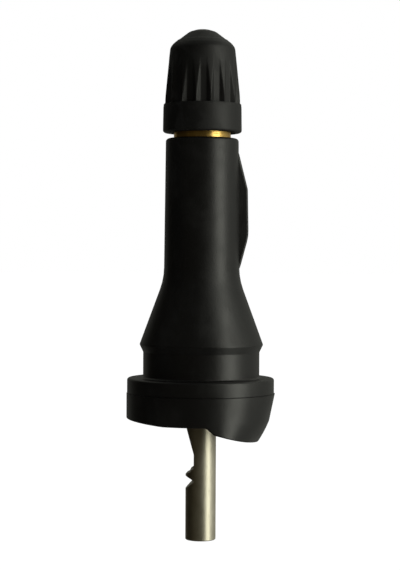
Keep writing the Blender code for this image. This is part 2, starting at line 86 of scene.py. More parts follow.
arc_step = math.radians(9.0)
fillet_share = 0.48
crease_degrees = 32.0


def rounded(corners):
    """The outline through corners (radius, height, fillet), with an arc for each fillet but at the two ends."""
    outline = []
    for index, (radius, height, fillet) in enumerate(corners):
        corner = Vector((radius, height))
        if fillet == 0 or index in (0, len(corners) - 1):
            outline.append(corner)
            continue
        back = Vector(corners[index - 1][:2]) - corner
        ahead = Vector(corners[index + 1][:2]) - corner
        half = back.angle(ahead) / 2
        reach = min(fillet / math.tan(half), fillet_share * back.length, fillet_share * ahead.length)
        middle = (back.normalized() + ahead.normalized()).normalized()
        centre = corner + middle * (reach / math.cos(half))
        first = corner + back.normalized() * reach - centre
        last = corner + ahead.normalized() * reach - centre
        sweep = math.pi - 2 * half
        if first.x * last.y - first.y * last.x < 0:
            sweep = -sweep
        steps = max(2, math.ceil(abs(sweep) / arc_step))
        for step in range(steps + 1):
            outline.append(centre + Matrix.Rotation(sweep * step / steps, 2) @ first)
    return outline


def draw(name, outline, closed):
    """Draw (x, z) points as edges in the XZ plane: a plane merged to one vertex, extruded from point to point."""
    bpy.ops.object.select_all(action="DESELECT")
    bpy.ops.mesh.primitive_plane_add(size=MM)
    piece = bpy.context.object
    piece.name = name
    piece.data.name = name
    bpy.ops.object.mode_set(mode="EDIT")
    bpy.ops.mesh.select_mode(type="VERT")
    bpy.ops.mesh.select_all(action="SELECT")
    bpy.ops.mesh.merge(type="CENTER")
    bpy.ops.transform.translate(value=(outline[0][0], 0.0, outline[0][1]))
    for here, there in zip(outline, outline[1:]):
        step = (there[0] - here[0], 0.0, there[1] - here[1])
        bpy.ops.mesh.extrude_region_move(TRANSFORM_OT_translate={"value": step})
    bpy.ops.mesh.select_all(action="SELECT")
    if closed:
        bpy.ops.object.mode_set(mode="OBJECT")
        used = [index for edge in piece.data.edges for index in edge.vertices]
        ends = sorted((index for index in used if used.count(index) == 1), reverse=True)
        piece.data.edges.add(1)
        piece.data.edges[-1].vertices = ends
        bpy.ops.object.mode_set(mode="EDIT")
    return piece


def turned(name, outline, segments, closed=True):
    """Spin an outline round the stem's axis into a closed turned piece."""
    piece = draw(name, outline, closed)
    bpy.ops.mesh.select_all(action="SELECT")
    bpy.ops.mesh.spin(steps=segments, angle=math.tau, center=(0, 0, 0), axis=(0, 0, 1))
    bpy.ops.mesh.select_all(action="SELECT")
    bpy.ops.mesh.remove_doubles(threshold=weld_distance)
    bpy.ops.mesh.normals_make_consistent(inside=False)
    bpy.ops.object.mode_set(mode="OBJECT")
    return piece


def slab(name, outline, thickness):
    """Fill an outline in the XZ plane and extrude it along Y into a slab, centred on the axis."""
    piece = draw(name, outline, True)
    bpy.ops.mesh.select_all(action="SELECT")
    bpy.ops.mesh.edge_face_add()
    bpy.ops.transform.translate(value=(0.0, -thickness / 2, 0.0))
    bpy.ops.mesh.extrude_region_move(TRANSFORM_OT_translate={"value": (0.0, thickness, 0.0)})
    bpy.ops.mesh.select_all(action="SELECT")
    bpy.ops.mesh.normals_make_consistent(inside=False)
    bpy.ops.object.mode_set(mode="OBJECT")
    return piece


def apply_modifiers(piece):
    """Apply a piece's modifiers in their order."""
    bpy.ops.object.select_all(action="DESELECT")
    bpy.context.view_layer.objects.active = piece
    piece.select_set(True)
    for modifier in list(piece.modifiers):
        bpy.ops.object.modifier_apply(modifier=modifier.name)


def combine(piece, tool, operation):
    """Join a tool to a piece or cut it away, and remove the tool."""
    boolean = piece.modifiers.new(tool.name, "BOOLEAN")
    boolean.object = tool
    boolean.operation = operation
    boolean.solver = "EXACT"
    apply_modifiers(piece)
    bpy.data.objects.remove(tool, do_unlink=True)


def smooth(piece, degrees):
    """Shade a piece smooth, with creases where its faces meet at more than an angle."""
    bpy.ops.object.select_all(action="DESELECT")
    bpy.context.view_layer.objects.active = piece
    piece.select_set(True)
    bpy.ops.object.shade_smooth_by_angle(angle=math.radians(degrees))


class Pattern:
    """A value or colour that changes over a surface. Arithmetic on it adds Math nodes to its material."""

    def __init__(self, tree, socket=None):
        self.tree = tree
        self.socket = socket

    def node(self, kind, settings, inputs, output=0):
        """Add a node of a kind, with its settings and then its inputs, and give one of its outputs."""
        made = self.tree.nodes.new("ShaderNode" + kind)
        for name, value in settings.items():
            setattr(made, name, value)
        for name, value in inputs.items():
            if isinstance(value, Pattern):
                self.tree.links.new(value.socket, made.inputs[name])
            else:
                made.inputs[name].default_value = value
        return Pattern(self.tree, made.outputs[output])

    def math(self, operation, first, second=0.0):
        """Add a Math node."""
        return self.node("Math", {"operation": operation}, {0: first, 1: second})

    def __add__(self, other):
        return self.math("ADD", self, other)

    def __radd__(self, other):
        return self.math("ADD", other, self)

    def __sub__(self, other):
        return self.math("SUBTRACT", self, other)

    def __rsub__(self, other):
        return self.math("SUBTRACT", other, self)

    def __mul__(self, other):
        return self.math("MULTIPLY", self, other)

    def __rmul__(self, other):
        return self.math("MULTIPLY", other, self)

    def noise(self, size, detail=3.0, roughness=0.55, distortion=0.0):
        """Noise whose blotches are about a size across, from 0 to 1."""
        settings = {"noise_dimensions": "3D"}
        inputs = {"Vector": self, "Scale": 1.0 / size, "Detail": detail}
        inputs.update({"Roughness": roughness, "Distortion": distortion})
        return self.node("TexNoise", settings, inputs)

    def between(self, low, high):
        """How far the value has gone from low to high, from 0 to 1."""
        inputs = {"Value": self, "From Min": low, "From Max": high}
        return self.node("MapRange", {"clamp": True, "interpolation_type": "SMOOTHSTEP"}, inputs)

    def tint(self, first, second):
        """The colour between two colours that the value picks, at a Mix node's inputs 6 and 7 and its output 2."""
        inputs = {0: self, 6: (*first, 1.0), 7: (*second, 1.0)}
        return self.node("Mix", {"data_type": "RGBA"}, inputs, 2)


def new_finish(name):
    """A new material with its Principled shader, and its pattern on Object coordinates."""
    made = bpy.data.materials.new(name)
    made.use_nodes = True
    shader = made.node_tree.nodes["Principled BSDF"]
    start = Pattern(made.node_tree)
    place = start.node("TexCoord", {}, {}, "Object")
    return made, shader, place


def wire(shader, **inputs):
    """Link or set the shader's inputs, named with _ for a space."""
    for name, value in inputs.items():
        socket = shader.inputs[name.replace("_", " ")]
        if isinstance(value, Pattern):
            value.tree.links.new(value.socket, socket)
        else:
            socket.default_value = value


def bumped(height, depth, strength=1.0):
    """The normal of a surface that is raised by height times a depth."""
    inputs = {"Strength": strength, "Distance": depth, "Height": height}
    return height.node("Bump", {}, inputs)


def fit(piece, body, node, finish, degrees=crease_degrees):
    """Finish a piece: its shading, its material, its body, and hiding the CAD solid that it stands for."""
    smooth(piece, degrees)
    piece.data.materials.clear()
    piece.data.materials.append(finish)
    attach(piece, body)
    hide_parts(node)


def shaft_metal():
    """Dull nickel on drawn steel: fine lines along the tube, cloudy warm plating, a fine grain and small specks."""
    made, shader, place = new_finish("drawn_nickel")
    drawn = place.node("Mapping", {}, {"Vector": place, "Scale": (1.0, 1.0, 0.02)})
    lines = drawn.noise(nickel_line, 5.0, 0.7)
    cloud = place.noise(nickel_cloud, 4.0, 0.6, 0.6)
    grain = place.noise(nickel_grain, 3.0, 0.6)
    specks = place.noise(nickel_speck, 2.0, 0.5).between(0.66, 0.74)
    height = 0.6 * lines + 0.3 * grain + 0.4 * cloud - 0.35 * specks
    wire(shader, Metallic=1.0, Base_Color=cloud.between(0.30, 0.72).tint(nickel_dark, nickel_light))
    wire(shader, Roughness=0.35 + 0.16 * lines + 0.10 * cloud + 0.12 * specks)
    wire(shader, Normal=bumped(height, nickel_relief, 0.8))
    return made


top_z = shaft_high.z
end_z = shaft_low.z
shaft = turned("drawn_sensor_shaft", rounded([
    (shaft_radius - shaft_edge, top_z, 0),
    (shaft_radius, top_z - shaft_edge, shaft_edge / 2),
    (shaft_radius, end_z + shaft_tip_edge, shaft_tip_edge / 2),
    (shaft_radius - shaft_tip_edge, end_z, shaft_tip_edge / 2),
    (shaft_bore + shaft_edge / 2, end_z, small_fillet),
    (shaft_bore, end_z + shaft_edge / 2, small_fillet),
    (shaft_bore, top_z, 0),
]), shaft_segments)
ramp_z = base_z - notch_start
floor_z = ramp_z - notch_ramp
tooth_z = floor_z - notch_flat
vee_z = tooth_z - tooth_height - vee_height / 2
far = 2 * shaft_radius
notch = slab("notch_cutter", rounded([
    (-far, ramp_z + shaft_radius / 2, 0),
    (-shaft_radius, ramp_z, 0),
    (-notch_land, floor_z, 2 * notch_corner),
    (-notch_land, tooth_z, notch_corner),
    (-tooth_root, tooth_z - tooth_slope, notch_corner / 2),
    (-tooth_step, tooth_z - tooth_step_height, notch_corner / 2),
    (-tooth_back, tooth_z - tooth_back_height, notch_corner / 2),
    (-shaft_radius, tooth_z - tooth_shoulder, notch_corner),
    (-shaft_radius - notch_corner, tooth_z - (tooth_shoulder + tooth_height) / 2, 0),
    (-shaft_radius + tooth_foot, tooth_z - tooth_height, notch_corner),
    (-shaft_radius + vee_depth, vee_z, notch_corner / 2),
    (-shaft_radius, vee_z - vee_height, 0),
    (-far, vee_z - vee_height - notch_corner, 0),
]), 4 * shaft_radius)
combine(shaft, notch, "DIFFERENCE")
fit(shaft, "stem", "sensor_shaft", shaft_metal())


# Brass stem. One piece turned from bar: cap thread, relief, collar, barrel and the foot that anchors it in the
# rubber. The core's seat and the core thread are cut in its mouth, and the shaft's socket in its foot.
stem_low, stem_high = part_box("valve_stem")
stem_segments = 144
mouth_z = stem_high.z
foot_z = stem_low.z
neck_top_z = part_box("rubber_body")[1].z
inch = 25.4 * MM
cap_pitch = inch / 32
cap_thread_radius = 3.85 * MM
cap_thread_depth = 0.45 * MM
cap_thread_length = 6.90 * MM
cap_thread_rows = 14
thread_end_gap = 0.25 * MM
thread_reach = 0.05 * MM
stem_chamfer = 0.60 * MM
relief_radius = 3.74 * MM
relief_step = 0.11 * MM
collar_depth = 2.00 * MM
barrel_side = 3.20 * MM
foot_radius = stem_high.x
foot_height = 1.40 * MM
foot_fillet = 1.20 * MM
foot_edge = 0.15 * MM
mouth_chamfer = 0.30 * MM
air_bore = 1.30 * MM
socket_gap = 0.02 * MM
socket_radius = shaft_radius + socket_gap
chamber_depth = 19.80 * MM
seat_z = mouth_z - 7.80 * MM
seat_radius = 2.20 * MM
seat_height = 1.30 * MM
core_pitch = inch / 36
core_thread_radius = 2.58 * MM
core_thread_depth = 0.34 * MM
core_thread_rows = 12
tapped_radius = 2.72 * MM
thread_crest = 0.14
thread_root = 0.12
stem_bright = (0.80, 0.53, 0.16)
stem_tarnish = (0.54, 0.32, 0.07)
stem_ring = 0.10 * MM
brass_cloud = 1.7 * MM
brass_grain = 0.12 * MM
brass_relief = 0.010 * MM


def rows(low, high, spacing):
    """Heights from low to high, both left out, about a spacing apart."""
    count = max(2, round((high - low) / spacing))
    return [low + (high - low) * step / count for step in range(1, count)]


def thread_depth_at(angle, height, pitch):
    """How deep a right-handed 60 degree thread is at a point, from 0 on its crest to 1 in its root."""
    turn = (height / pitch - angle / math.tau) % 1.0
    rise = abs(2 * turn - 1)
    share = (rise - thread_crest) / (1 - thread_crest - thread_root)
    return min(max(share, 0.0), 1.0)


def cut_thread(piece, radius, reach, low, high, pitch, depth, runout):
    """Press a thread into the vertices of a round wall that lie near a radius, fading out over a run at each end."""
    for vertex in piece.data.vertices:
        across = math.hypot(vertex.co.x, vertex.co.y)
        if abs(across - radius) > reach or not low < vertex.co.z < high:
            continue
        fade = min((vertex.co.z - low) / runout[0], (high - vertex.co.z) / runout[1], 1.0)
        angle = math.atan2(vertex.co.y, vertex.co.x)
        wanted = radius - fade * depth * thread_depth_at(angle, vertex.co.z, pitch)
        vertex.co.x *= wanted / across
        vertex.co.y *= wanted / across
    piece.data.update()


def turned_brass(name, bright, tarnished, ring_size):
    """Brass as it comes off the lathe: fine rings round the axis, a thin brown tarnish and a fine grain."""
    made, shader, place = new_finish(name)
    lathed = place.node("Mapping", {}, {"Vector": place, "Scale": (0.03, 0.03, 1.0)})
    rings = lathed.noise(ring_size, 5.0, 0.65)
    cloud = place.noise(brass_cloud, 4.0, 0.6, 0.5)
    grain = place.noise(brass_grain, 3.0, 0.6)
    tarnish = (0.65 * cloud + 0.35 * rings).between(0.46, 0.66)
    height = 0.7 * rings + 0.25 * grain
    wire(shader, Metallic=1.0, Base_Color=tarnish.tint(bright, tarnished))
    wire(shader, Roughness=0.24 + 0.14 * rings + 0.14 * tarnish, Normal=bumped(height, brass_relief, 0.8))
    return made


thread_low_z = mouth_z - cap_thread_length
corners = rounded([
    (cap_thread_radius - stem_chamfer, mouth_z, 0),
    (cap_thread_radius, mouth_z - stem_chamfer, 0),
])
thread_heights = rows(thread_low_z, mouth_z - stem_chamfer, cap_pitch / cap_thread_rows)
corners += [Vector((cap_thread_radius, height)) for height in reversed(thread_heights)]
collar_end_z = neck_top_z - collar_depth
flare_z = foot_z + foot_height
corners += rounded([
    (cap_thread_radius, thread_low_z, 0),
    (relief_radius, thread_low_z - relief_step, fine_fillet),
    (relief_radius, collar_end_z, small_fillet),
    (barrel_side, collar_end_z - (relief_radius - barrel_side), small_fillet),
    (barrel_side, flare_z + foot_radius - barrel_side, foot_fillet),
    (foot_radius, flare_z, foot_edge),
    (foot_radius, foot_z, foot_edge),
    (socket_radius + foot_edge, foot_z, 0),
    (socket_radius, foot_z + foot_edge, 0),
    (socket_radius, top_z + socket_gap, 0),
    (air_bore, top_z + socket_gap, 0),
    (air_bore, mouth_z - chamber_depth - (seat_radius - air_bore), 0),
    (seat_radius, mouth_z - chamber_depth, 0),
    (seat_radius, seat_z, 0),
    (tapped_radius, seat_z + seat_height, 0),
])
tapped_heights = rows(seat_z + seat_height, mouth_z - mouth_chamfer, core_pitch / core_thread_rows)
corners += [Vector((tapped_radius, height)) for height in tapped_heights]
corners += rounded([
    (tapped_radius, mouth_z - mouth_chamfer, 0),
    (tapped_radius + mouth_chamfer, mouth_z, 0),
])
stem = turned("turned_valve_stem", corners, stem_segments)
cut_thread(stem, cap_thread_radius, thread_reach, thread_low_z, mouth_z - thread_end_gap, cap_pitch,
           cap_thread_depth, (cap_pitch, cap_pitch / 2))
cut_thread(stem, tapped_radius, thread_reach, seat_z + seat_height, mouth_z, core_pitch, core_thread_depth,
           (core_pitch, core_pitch / 2))
stem_brass = turned_brass("stem_brass", stem_bright, stem_tarnish, stem_ring)
fit(stem, "stem", "valve_stem", stem_brass)


# Rubber body. One black moulding, bonded to the stem: neck, snap bulge, plug, flange and a base with a lobe that
# keeps it from turning in the rim. It has a flat rib on the neck, and the mould's parting line round the flange.
rubber_segments = 256
wall_row = 0.25 * MM
fillet_rows = 8
wall_reach = 0.01 * MM
settle_steps = 6
skin = 0.02 * MM
plug_radius = 7.66 * MM
plug_height = 3.40 * MM
bulge_proud = 0.48 * MM
bulge_lip = 1.00 * MM
cone_height = 8.64 * MM
neck_wall = 1.77 * MM
neck_draft = 0.18 * MM
flare_fillet = 8.8 * MM
bulge_fillet = 0.30 * MM
plug_fillet = 0.30 * MM
rim_fillet = 0.30 * MM
neck_fillet = 0.45 * MM
flange_radius = 9.68 * MM
split_depth = 1.92 * MM
split_width = 0.10 * MM
split_groove = 0.06 * MM
groove_fillet = 0.02 * MM
base_depth = 5.74 * MM
base_fillet = 0.20 * MM
foot_rise = 0.40 * MM
foot_rise_start = -5.00 * MM
foot_rise_fillet = 8.00 * MM
lobe_step_start = 0.60 * MM
lobe_step_run = 1.05 * MM
lobe_step_drop = 0.91 * MM
lobe_slope = math.radians(16.3)
base_proud = 0.09 * MM
base_shift = -0.06 * MM
flange_shift = -0.08 * MM
lobe_draw_in = 3.42 * MM
lobe_draw_depth = 8.00 * MM
lobe_draw_power = 1.90
lobe_blend = (0.25, 1.00)
crease_fillet = 0.25 * MM
rib_thickness = 1.30 * MM
rib_proud = 1.17 * MM
rib_foot = 1.20 * MM
rib_crest_low = 5.60 * MM
rib_crest_high = 11.75 * MM
rib_top = 16.64 * MM
rib_lean = 0.12 * MM
rib_corner = 1.50 * MM
rib_curve = 5.00 * MM
rib_edge = 0.25 * MM
rib_edge_steps = 4
rib_edge_angle = math.radians(60.0)
cut_overlap = 0.01 * MM
rubber_black = (0.0030, 0.0030, 0.0030)
rubber_bloom = (0.0055, 0.0055, 0.0052)
rubber_mottle = 1.9 * MM
rubber_grain = 0.20 * MM
rubber_smear = 5.0 * MM
rubber_dust = 0.34 * MM
rubber_relief = 0.030 * MM

bulge_tip_z = plug_height + bulge_lip
cone_top_z = bulge_tip_z + cone_height
neck_base_radius = barrel_side + neck_wall
neck_top_radius = neck_base_radius - neck_draft
split_z = -split_depth - split_width
fillet_z = -base_depth + base_fillet
fillet_end_z = -base_depth - base_fillet / 2
blank_z = -9.6 * MM


def wall_radius(angle, height):
    """Radius of the base's wall: round on the -X side, drawn in towards the lobe's foot on the +X side."""
    start, end = lobe_blend
    share = min(max((math.cos(angle) - start) / (end - start), 0.0), 1.0)
    depth = max(split_z - height, 0.0) / lobe_draw_depth
    inset = share * share * (3 - 2 * share) * lobe_draw_in * depth ** lobe_draw_power
    return flange_radius + base_proud + base_shift * math.cos(angle) - inset


def underside_height(along):
    """Height of the base's underside at a place along X: rising to the left, a short ramp, the slope of the lobe."""
    if along < foot_rise_start:
        return -base_depth + foot_rise * (along - foot_rise_start) / (-flange_radius - foot_rise_start)
    ramp = min(max((along - lobe_step_start) / lobe_step_run, 0.0), 1.0)
    beyond = max(along - lobe_step_start - lobe_step_run, 0.0)
    return -base_depth - ramp * lobe_step_drop - beyond * math.tan(lobe_slope)


def shape_base(piece):
    """Draw the base's plain wall in to the lobe, and round its lower rows over into the underside."""
    for vertex in piece.data.vertices:
        across = math.hypot(vertex.co.x, vertex.co.y)
        if across > plug_radius + 2 * plug_fillet and vertex.co.z > split_z:
            vertex.co.x += flange_shift
        if across < flange_radius - wall_reach or not blank_z < vertex.co.z < split_z:
            continue
        angle = math.atan2(vertex.co.y, vertex.co.x)
        foot = -base_depth
        for _ in range(settle_steps):
            foot = underside_height(wall_radius(angle, foot) * math.cos(angle))
        corner = Vector((wall_radius(angle, foot), foot))
        start = Vector((wall_radius(angle, foot + base_fillet), foot + base_fillet))
        end_radius = corner.x - base_fillet
        end = Vector((end_radius, underside_height(end_radius * math.cos(angle)) - cut_overlap))
        if vertex.co.z >= fillet_z:
            height = split_z + (start.y - split_z) * (vertex.co.z - split_z) / (fillet_z - split_z)
            radius = wall_radius(angle, height)
        else:
            share = (fillet_z - vertex.co.z) / (fillet_z - fillet_end_z)
            radius, height = start.lerp(corner, share).lerp(corner.lerp(end, share), share)
        vertex.co = (radius * math.cos(angle), radius * math.sin(angle), height)


def moulded_rubber():
    """Black moulded rubber: satin skin with a faint mottle, a fine grain, soft smears and dusty specks."""
    made, shader, place = new_finish("moulded_rubber")
    mottle = place.noise(rubber_mottle, 4.0, 0.62, 0.4)
    grain = place.noise(rubber_grain, 4.0, 0.65)
    drawn = place.node("Mapping", {}, {"Vector": place, "Scale": (1.0, 1.0, 0.35)})
    smear = drawn.noise(rubber_smear, 3.0, 0.55, 0.8)
    dust = place.noise(rubber_dust, 2.0, 0.5).between(0.70, 0.78)
    bloom = (0.6 * smear + 0.4 * mottle).between(0.42, 0.66)
    height = 0.55 * mottle + 0.35 * grain + 0.25 * dust
    wire(shader, Base_Color=bloom.tint(rubber_black, rubber_bloom))
    wire(shader, Roughness=0.36 + 0.10 * bloom + 0.08 * grain + 0.10 * dust)
    wire(shader, Normal=bumped(height, rubber_relief, 0.9))
    return made


corners = [
    (relief_radius + skin, neck_top_z, 0),
    (neck_top_radius, neck_top_z, neck_fillet),
    (neck_base_radius, cone_top_z, flare_fillet),
    (plug_radius + bulge_proud, bulge_tip_z, bulge_fillet),
    (plug_radius, plug_height, plug_fillet),
    (plug_radius, 0.0, plug_fillet),
    (flange_radius, 0.0, rim_fillet),
    (flange_radius, -split_depth, fine_fillet),
    (flange_radius - split_groove, -split_depth - split_width / 2, groove_fillet),
    (flange_radius, split_z, fine_fillet),
]
outline = rounded(corners + [(flange_radius, 2 * split_z, 0)])
outline += [Vector((flange_radius, height)) for height in reversed(rows(fillet_z, 2 * split_z, wall_row))]
fillet_heights = [fillet_z + (fillet_end_z - fillet_z) * step / fillet_rows for step in range(fillet_rows + 1)]
outline += [Vector((flange_radius, height)) for height in fillet_heights]
outline += rounded([
    (flange_radius / 2, blank_z, 0),
    (shaft_radius + skin, blank_z, 0),
    (shaft_radius + skin, foot_z - skin, 0),
    (foot_radius + skin, foot_z - skin, 0),
    (foot_radius + skin, flare_z + skin, 0),
    (barrel_side + skin, flare_z + foot_radius - barrel_side + skin, foot_fillet),
    (barrel_side + skin, collar_end_z - (relief_radius - barrel_side) - skin, 0),
    (relief_radius + skin, collar_end_z - skin, 0),
])
rubber = turned("moulded_rubber_body", outline, rubber_segments)
shape_base(rubber)
far = 2 * flange_radius
step_end = lobe_step_start + lobe_step_run
step_z = -(base_depth + lobe_step_drop)
under = slab("base_cutter", rounded([
    (-far, underside_height(-far), 0),
    (foot_rise_start, -base_depth, foot_rise_fillet),
    (lobe_step_start, -base_depth, crease_fillet),
    (step_end, step_z, crease_fillet),
    (far, step_z - (far - step_end) * math.tan(lobe_slope), 0),
    (far, 2 * blank_z, 0),
    (-far, 2 * blank_z, 0),
]), 2 * far)
combine(rubber, under, "DIFFERENCE")
crest = neck_base_radius + rib_proud
root = barrel_side + neck_wall / 2
rib = slab("neck_rib", rounded([
    (root, cone_top_z + rib_top, 0),
    (neck_top_radius, cone_top_z + rib_top, 0),
    (crest - rib_lean, cone_top_z + rib_crest_high, rib_corner),
    (crest, cone_top_z + rib_crest_low, rib_curve),
    (neck_base_radius, cone_top_z + rib_foot, rib_curve),
    (root, cone_top_z, 0),
]), rib_thickness)
bevel = rib.modifiers.new("Rib edges", "BEVEL")
bevel.width = rib_edge
bevel.segments = rib_edge_steps
bevel.angle_limit = rib_edge_angle
apply_modifiers(rib)
combine(rubber, rib, "UNION")
fit(rubber, "stem", "rubber_body", moulded_rubber())


# Core barrel. A thin brass tube with a neck that the plug is spun over, and a lip at its foot for the cup's
# washer. It stays still while the plug turns, and the gasket on its shoulder seals it in the stem.
core_segments = 96
core_fillet = 0.06 * MM
core_round = 0.08 * MM
core_neck_radius = 1.60 * MM
core_neck_length = 2.60 * MM
core_fit = 0.08 * MM
core_barrel_radius = 1.90 * MM
core_barrel_length = 6.20 * MM
core_barrel_bore = 1.30 * MM
core_barrel_floor = 1.20 * MM
core_barrel_edge = 0.20 * MM
pin_radius = 0.60 * MM
lip_hole = pin_radius + 0.28 * MM
core_bright = (0.70, 0.53, 0.27)
core_tarnish = (0.46, 0.32, 0.15)
core_ring = 0.05 * MM
core_brass = turned_brass("core_brass", core_bright, core_tarnish, core_ring)
barrel = turned("spun_core_barrel", rounded([
    (core_neck_radius, seat_z + core_neck_length, 0),
    (core_neck_radius, seat_z, fine_fillet),
    (core_barrel_radius, seat_z, core_round),
    (core_barrel_radius, seat_z - core_barrel_length + core_barrel_edge, small_fillet),
    (core_barrel_radius - 2 * core_barrel_edge, seat_z - core_barrel_length, core_fillet),
    (lip_hole + core_barrel_edge, seat_z - core_barrel_length, core_fillet),
    (lip_hole, seat_z - core_barrel_length + core_barrel_edge, core_fillet),
    (lip_hole, seat_z - core_barrel_length + core_barrel_floor, 0),
    (core_barrel_bore, seat_z - core_barrel_length + core_barrel_floor, core_fillet),
    (core_barrel_bore, seat_z + core_neck_length, 0),
]), core_segments)
fit(barrel, "stem", "core_barrel", core_brass)


# Core gasket. A tapered ring of dark red sealing plastic, pressed on the barrel's shoulder. It is squeezed into
# the cone in the stem when the core is screwed down.
gasket_low, gasket_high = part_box("core_gasket")
gasket_top_radius = gasket_high.x
taper = (tapped_radius - seat_radius) / seat_height
gasket_base_radius = gasket_top_radius - taper * (gasket_high.z - gasket_low.z)
gasket_light = (0.45, 0.070, 0.045)
gasket_dark = (0.30, 0.035, 0.025)
gasket_grain = 0.08 * MM
seal_patch = 0.9 * MM
seal_relief = 0.018 * MM


def moulded_seal(name, light, dark, grain_size):
    """Matt sealing rubber or plastic: a soft grain, with paler rubbed patches."""
    made, shader, place = new_finish(name)
    patch = place.noise(seal_patch, 4.0, 0.6, 0.4)
    grain = place.noise(grain_size, 3.0, 0.6)
    colour = patch.between(0.35, 0.68).tint(dark, light)
    wire(shader, Base_Color=colour, Roughness=0.48 + 0.14 * patch + 0.10 * grain)
    wire(shader, Normal=bumped(0.5 * patch + 0.5 * grain, seal_relief, 0.8))
    return made


gasket = turned("tapered_core_gasket", rounded([
    (gasket_top_radius, gasket_high.z, 0),
    (gasket_base_radius, gasket_low.z, small_fillet),
    (core_neck_radius + core_fit, gasket_low.z, fine_fillet),
    (core_neck_radius + core_fit, gasket_high.z, 0),
]), core_segments)
gasket_plastic = moulded_seal("gasket_plastic", gasket_light, gasket_dark, gasket_grain)
fit(gasket, "stem", "core_gasket", gasket_plastic)


# Core plug. The threaded brass head that holds the core down, spun loosely over the barrel's neck. Two flats
# across its top take the slot of a core key.
plug_low, plug_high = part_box("core_plug")
plug_edge = 0.25 * MM
plug_bore = 1.15 * MM
tang_height = 2.00 * MM
tang_width = 2.80 * MM
plug_reach = 0.02 * MM
plug_thread_low = plug_low.z + plug_edge
plug_thread_high = plug_high.z - plug_edge
recess_top = seat_z + core_neck_length + core_fit
corners = [Vector((core_thread_radius - plug_edge, plug_high.z)), Vector((core_thread_radius, plug_thread_high))]
thread_heights = rows(plug_thread_low, plug_thread_high, core_pitch / core_thread_rows)
corners += [Vector((core_thread_radius, height)) for height in reversed(thread_heights)]
corners += rounded([
    (core_thread_radius, plug_thread_low, 0),
    (core_thread_radius - plug_edge, plug_low.z, core_fillet),
    (core_neck_radius + core_fit, plug_low.z, 0),
    (core_neck_radius + core_fit, recess_top, 0),
    (plug_bore, recess_top, 0),
    (plug_bore, plug_high.z, core_fillet),
    (core_thread_radius - plug_edge, plug_high.z, 0),
])[:-1]
plug = turned("threaded_core_plug", corners, core_segments)
cut_thread(plug, core_thread_radius, plug_reach, plug_low.z, plug_high.z, core_pitch, core_thread_depth,
           (core_pitch / 2, core_pitch / 2))
for name, side in (("left_flat", -1), ("right_flat", 1)):
    near = side * tang_width / 2
    far = side * 2 * core_thread_radius
    shoulder_z = plug_high.z - tang_height
    over_z = plug_high.z + plug_edge
    outline = [(near, shoulder_z), (far, shoulder_z), (far, over_z), (near, over_z)]
    combine(plug, slab(name, outline, 4 * core_thread_radius), "DIFFERENCE")
fit(plug, "stem", "core_plug", core_brass)


# Return spring. Fine stainless wire coiled on the pin inside the barrel, with a closed turn at each end. It
# pushes the pin up, and flattens as the pin is pressed.
spring_low, spring_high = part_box("core_spring")
spring_wire = 0.12 * MM
spring_turns = 8
spring_closed = 2.1 * spring_wire
points_per_turn = 24
wire_rounding = 4
spring_bright = (0.62, 0.61, 0.59)
spring_dull = (0.46, 0.45, 0.44)
steel_cloud = 0.8 * MM
steel_grain = 0.05 * MM
steel_relief = 0.004 * MM


def drawn_steel(name, bright, dull):
    """Drawn or turned stainless steel: cloudy bright metal with a fine grain."""
    made, shader, place = new_finish(name)
    cloud = place.noise(steel_cloud, 4.0, 0.6, 0.3)
    grain = place.noise(steel_grain, 3.0, 0.6)
    wire(shader, Metallic=1.0, Base_Color=cloud.between(0.3, 0.7).tint(dull, bright))
    wire(shader, Roughness=0.18 + 0.12 * cloud + 0.12 * grain)
    wire(shader, Normal=bumped(0.5 * cloud + 0.5 * grain, steel_relief, 0.7))
    return made


bpy.ops.object.select_all(action="DESELECT")
bpy.ops.curve.primitive_bezier_curve_add()
coil = bpy.context.object
coil.name = "coiled_return_spring"
coil.data.splines.clear()
coil.data.dimensions = "3D"
coil.data.bevel_depth = spring_wire
coil.data.bevel_resolution = wire_rounding
coil.data.use_fill_caps = True
line = coil.data.splines.new("POLY")
line.points.add(spring_turns * points_per_turn)
low = spring_low.z + spring_wire
high = spring_high.z - spring_wire
middle_radius = (pin_radius + core_barrel_bore) / 2
for index, point in enumerate(line.points):
    turns = index / points_per_turn
    rise = (min(turns, 1.0) + max(turns - spring_turns + 1, 0.0)) * spring_closed
    share = min(max(turns - 1.0, 0.0), spring_turns - 2) / (spring_turns - 2)
    rise += share * (high - low - 2 * spring_closed)
    angle = math.tau * turns
    point.co = (middle_radius * math.cos(angle), middle_radius * math.sin(angle), low + rise, 1.0)
bpy.ops.object.convert(target="MESH")
spring = bpy.context.object
bpy.ops.object.mode_set(mode="EDIT")
bpy.ops.mesh.select_all(action="SELECT")
bpy.ops.mesh.remove_doubles(threshold=weld_distance)
bpy.ops.mesh.normals_make_consistent(inside=False)
bpy.ops.object.mode_set(mode="OBJECT")
fit(spring, "stem", "core_spring", drawn_steel("spring_wire", spring_bright, spring_dull))
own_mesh(spring)


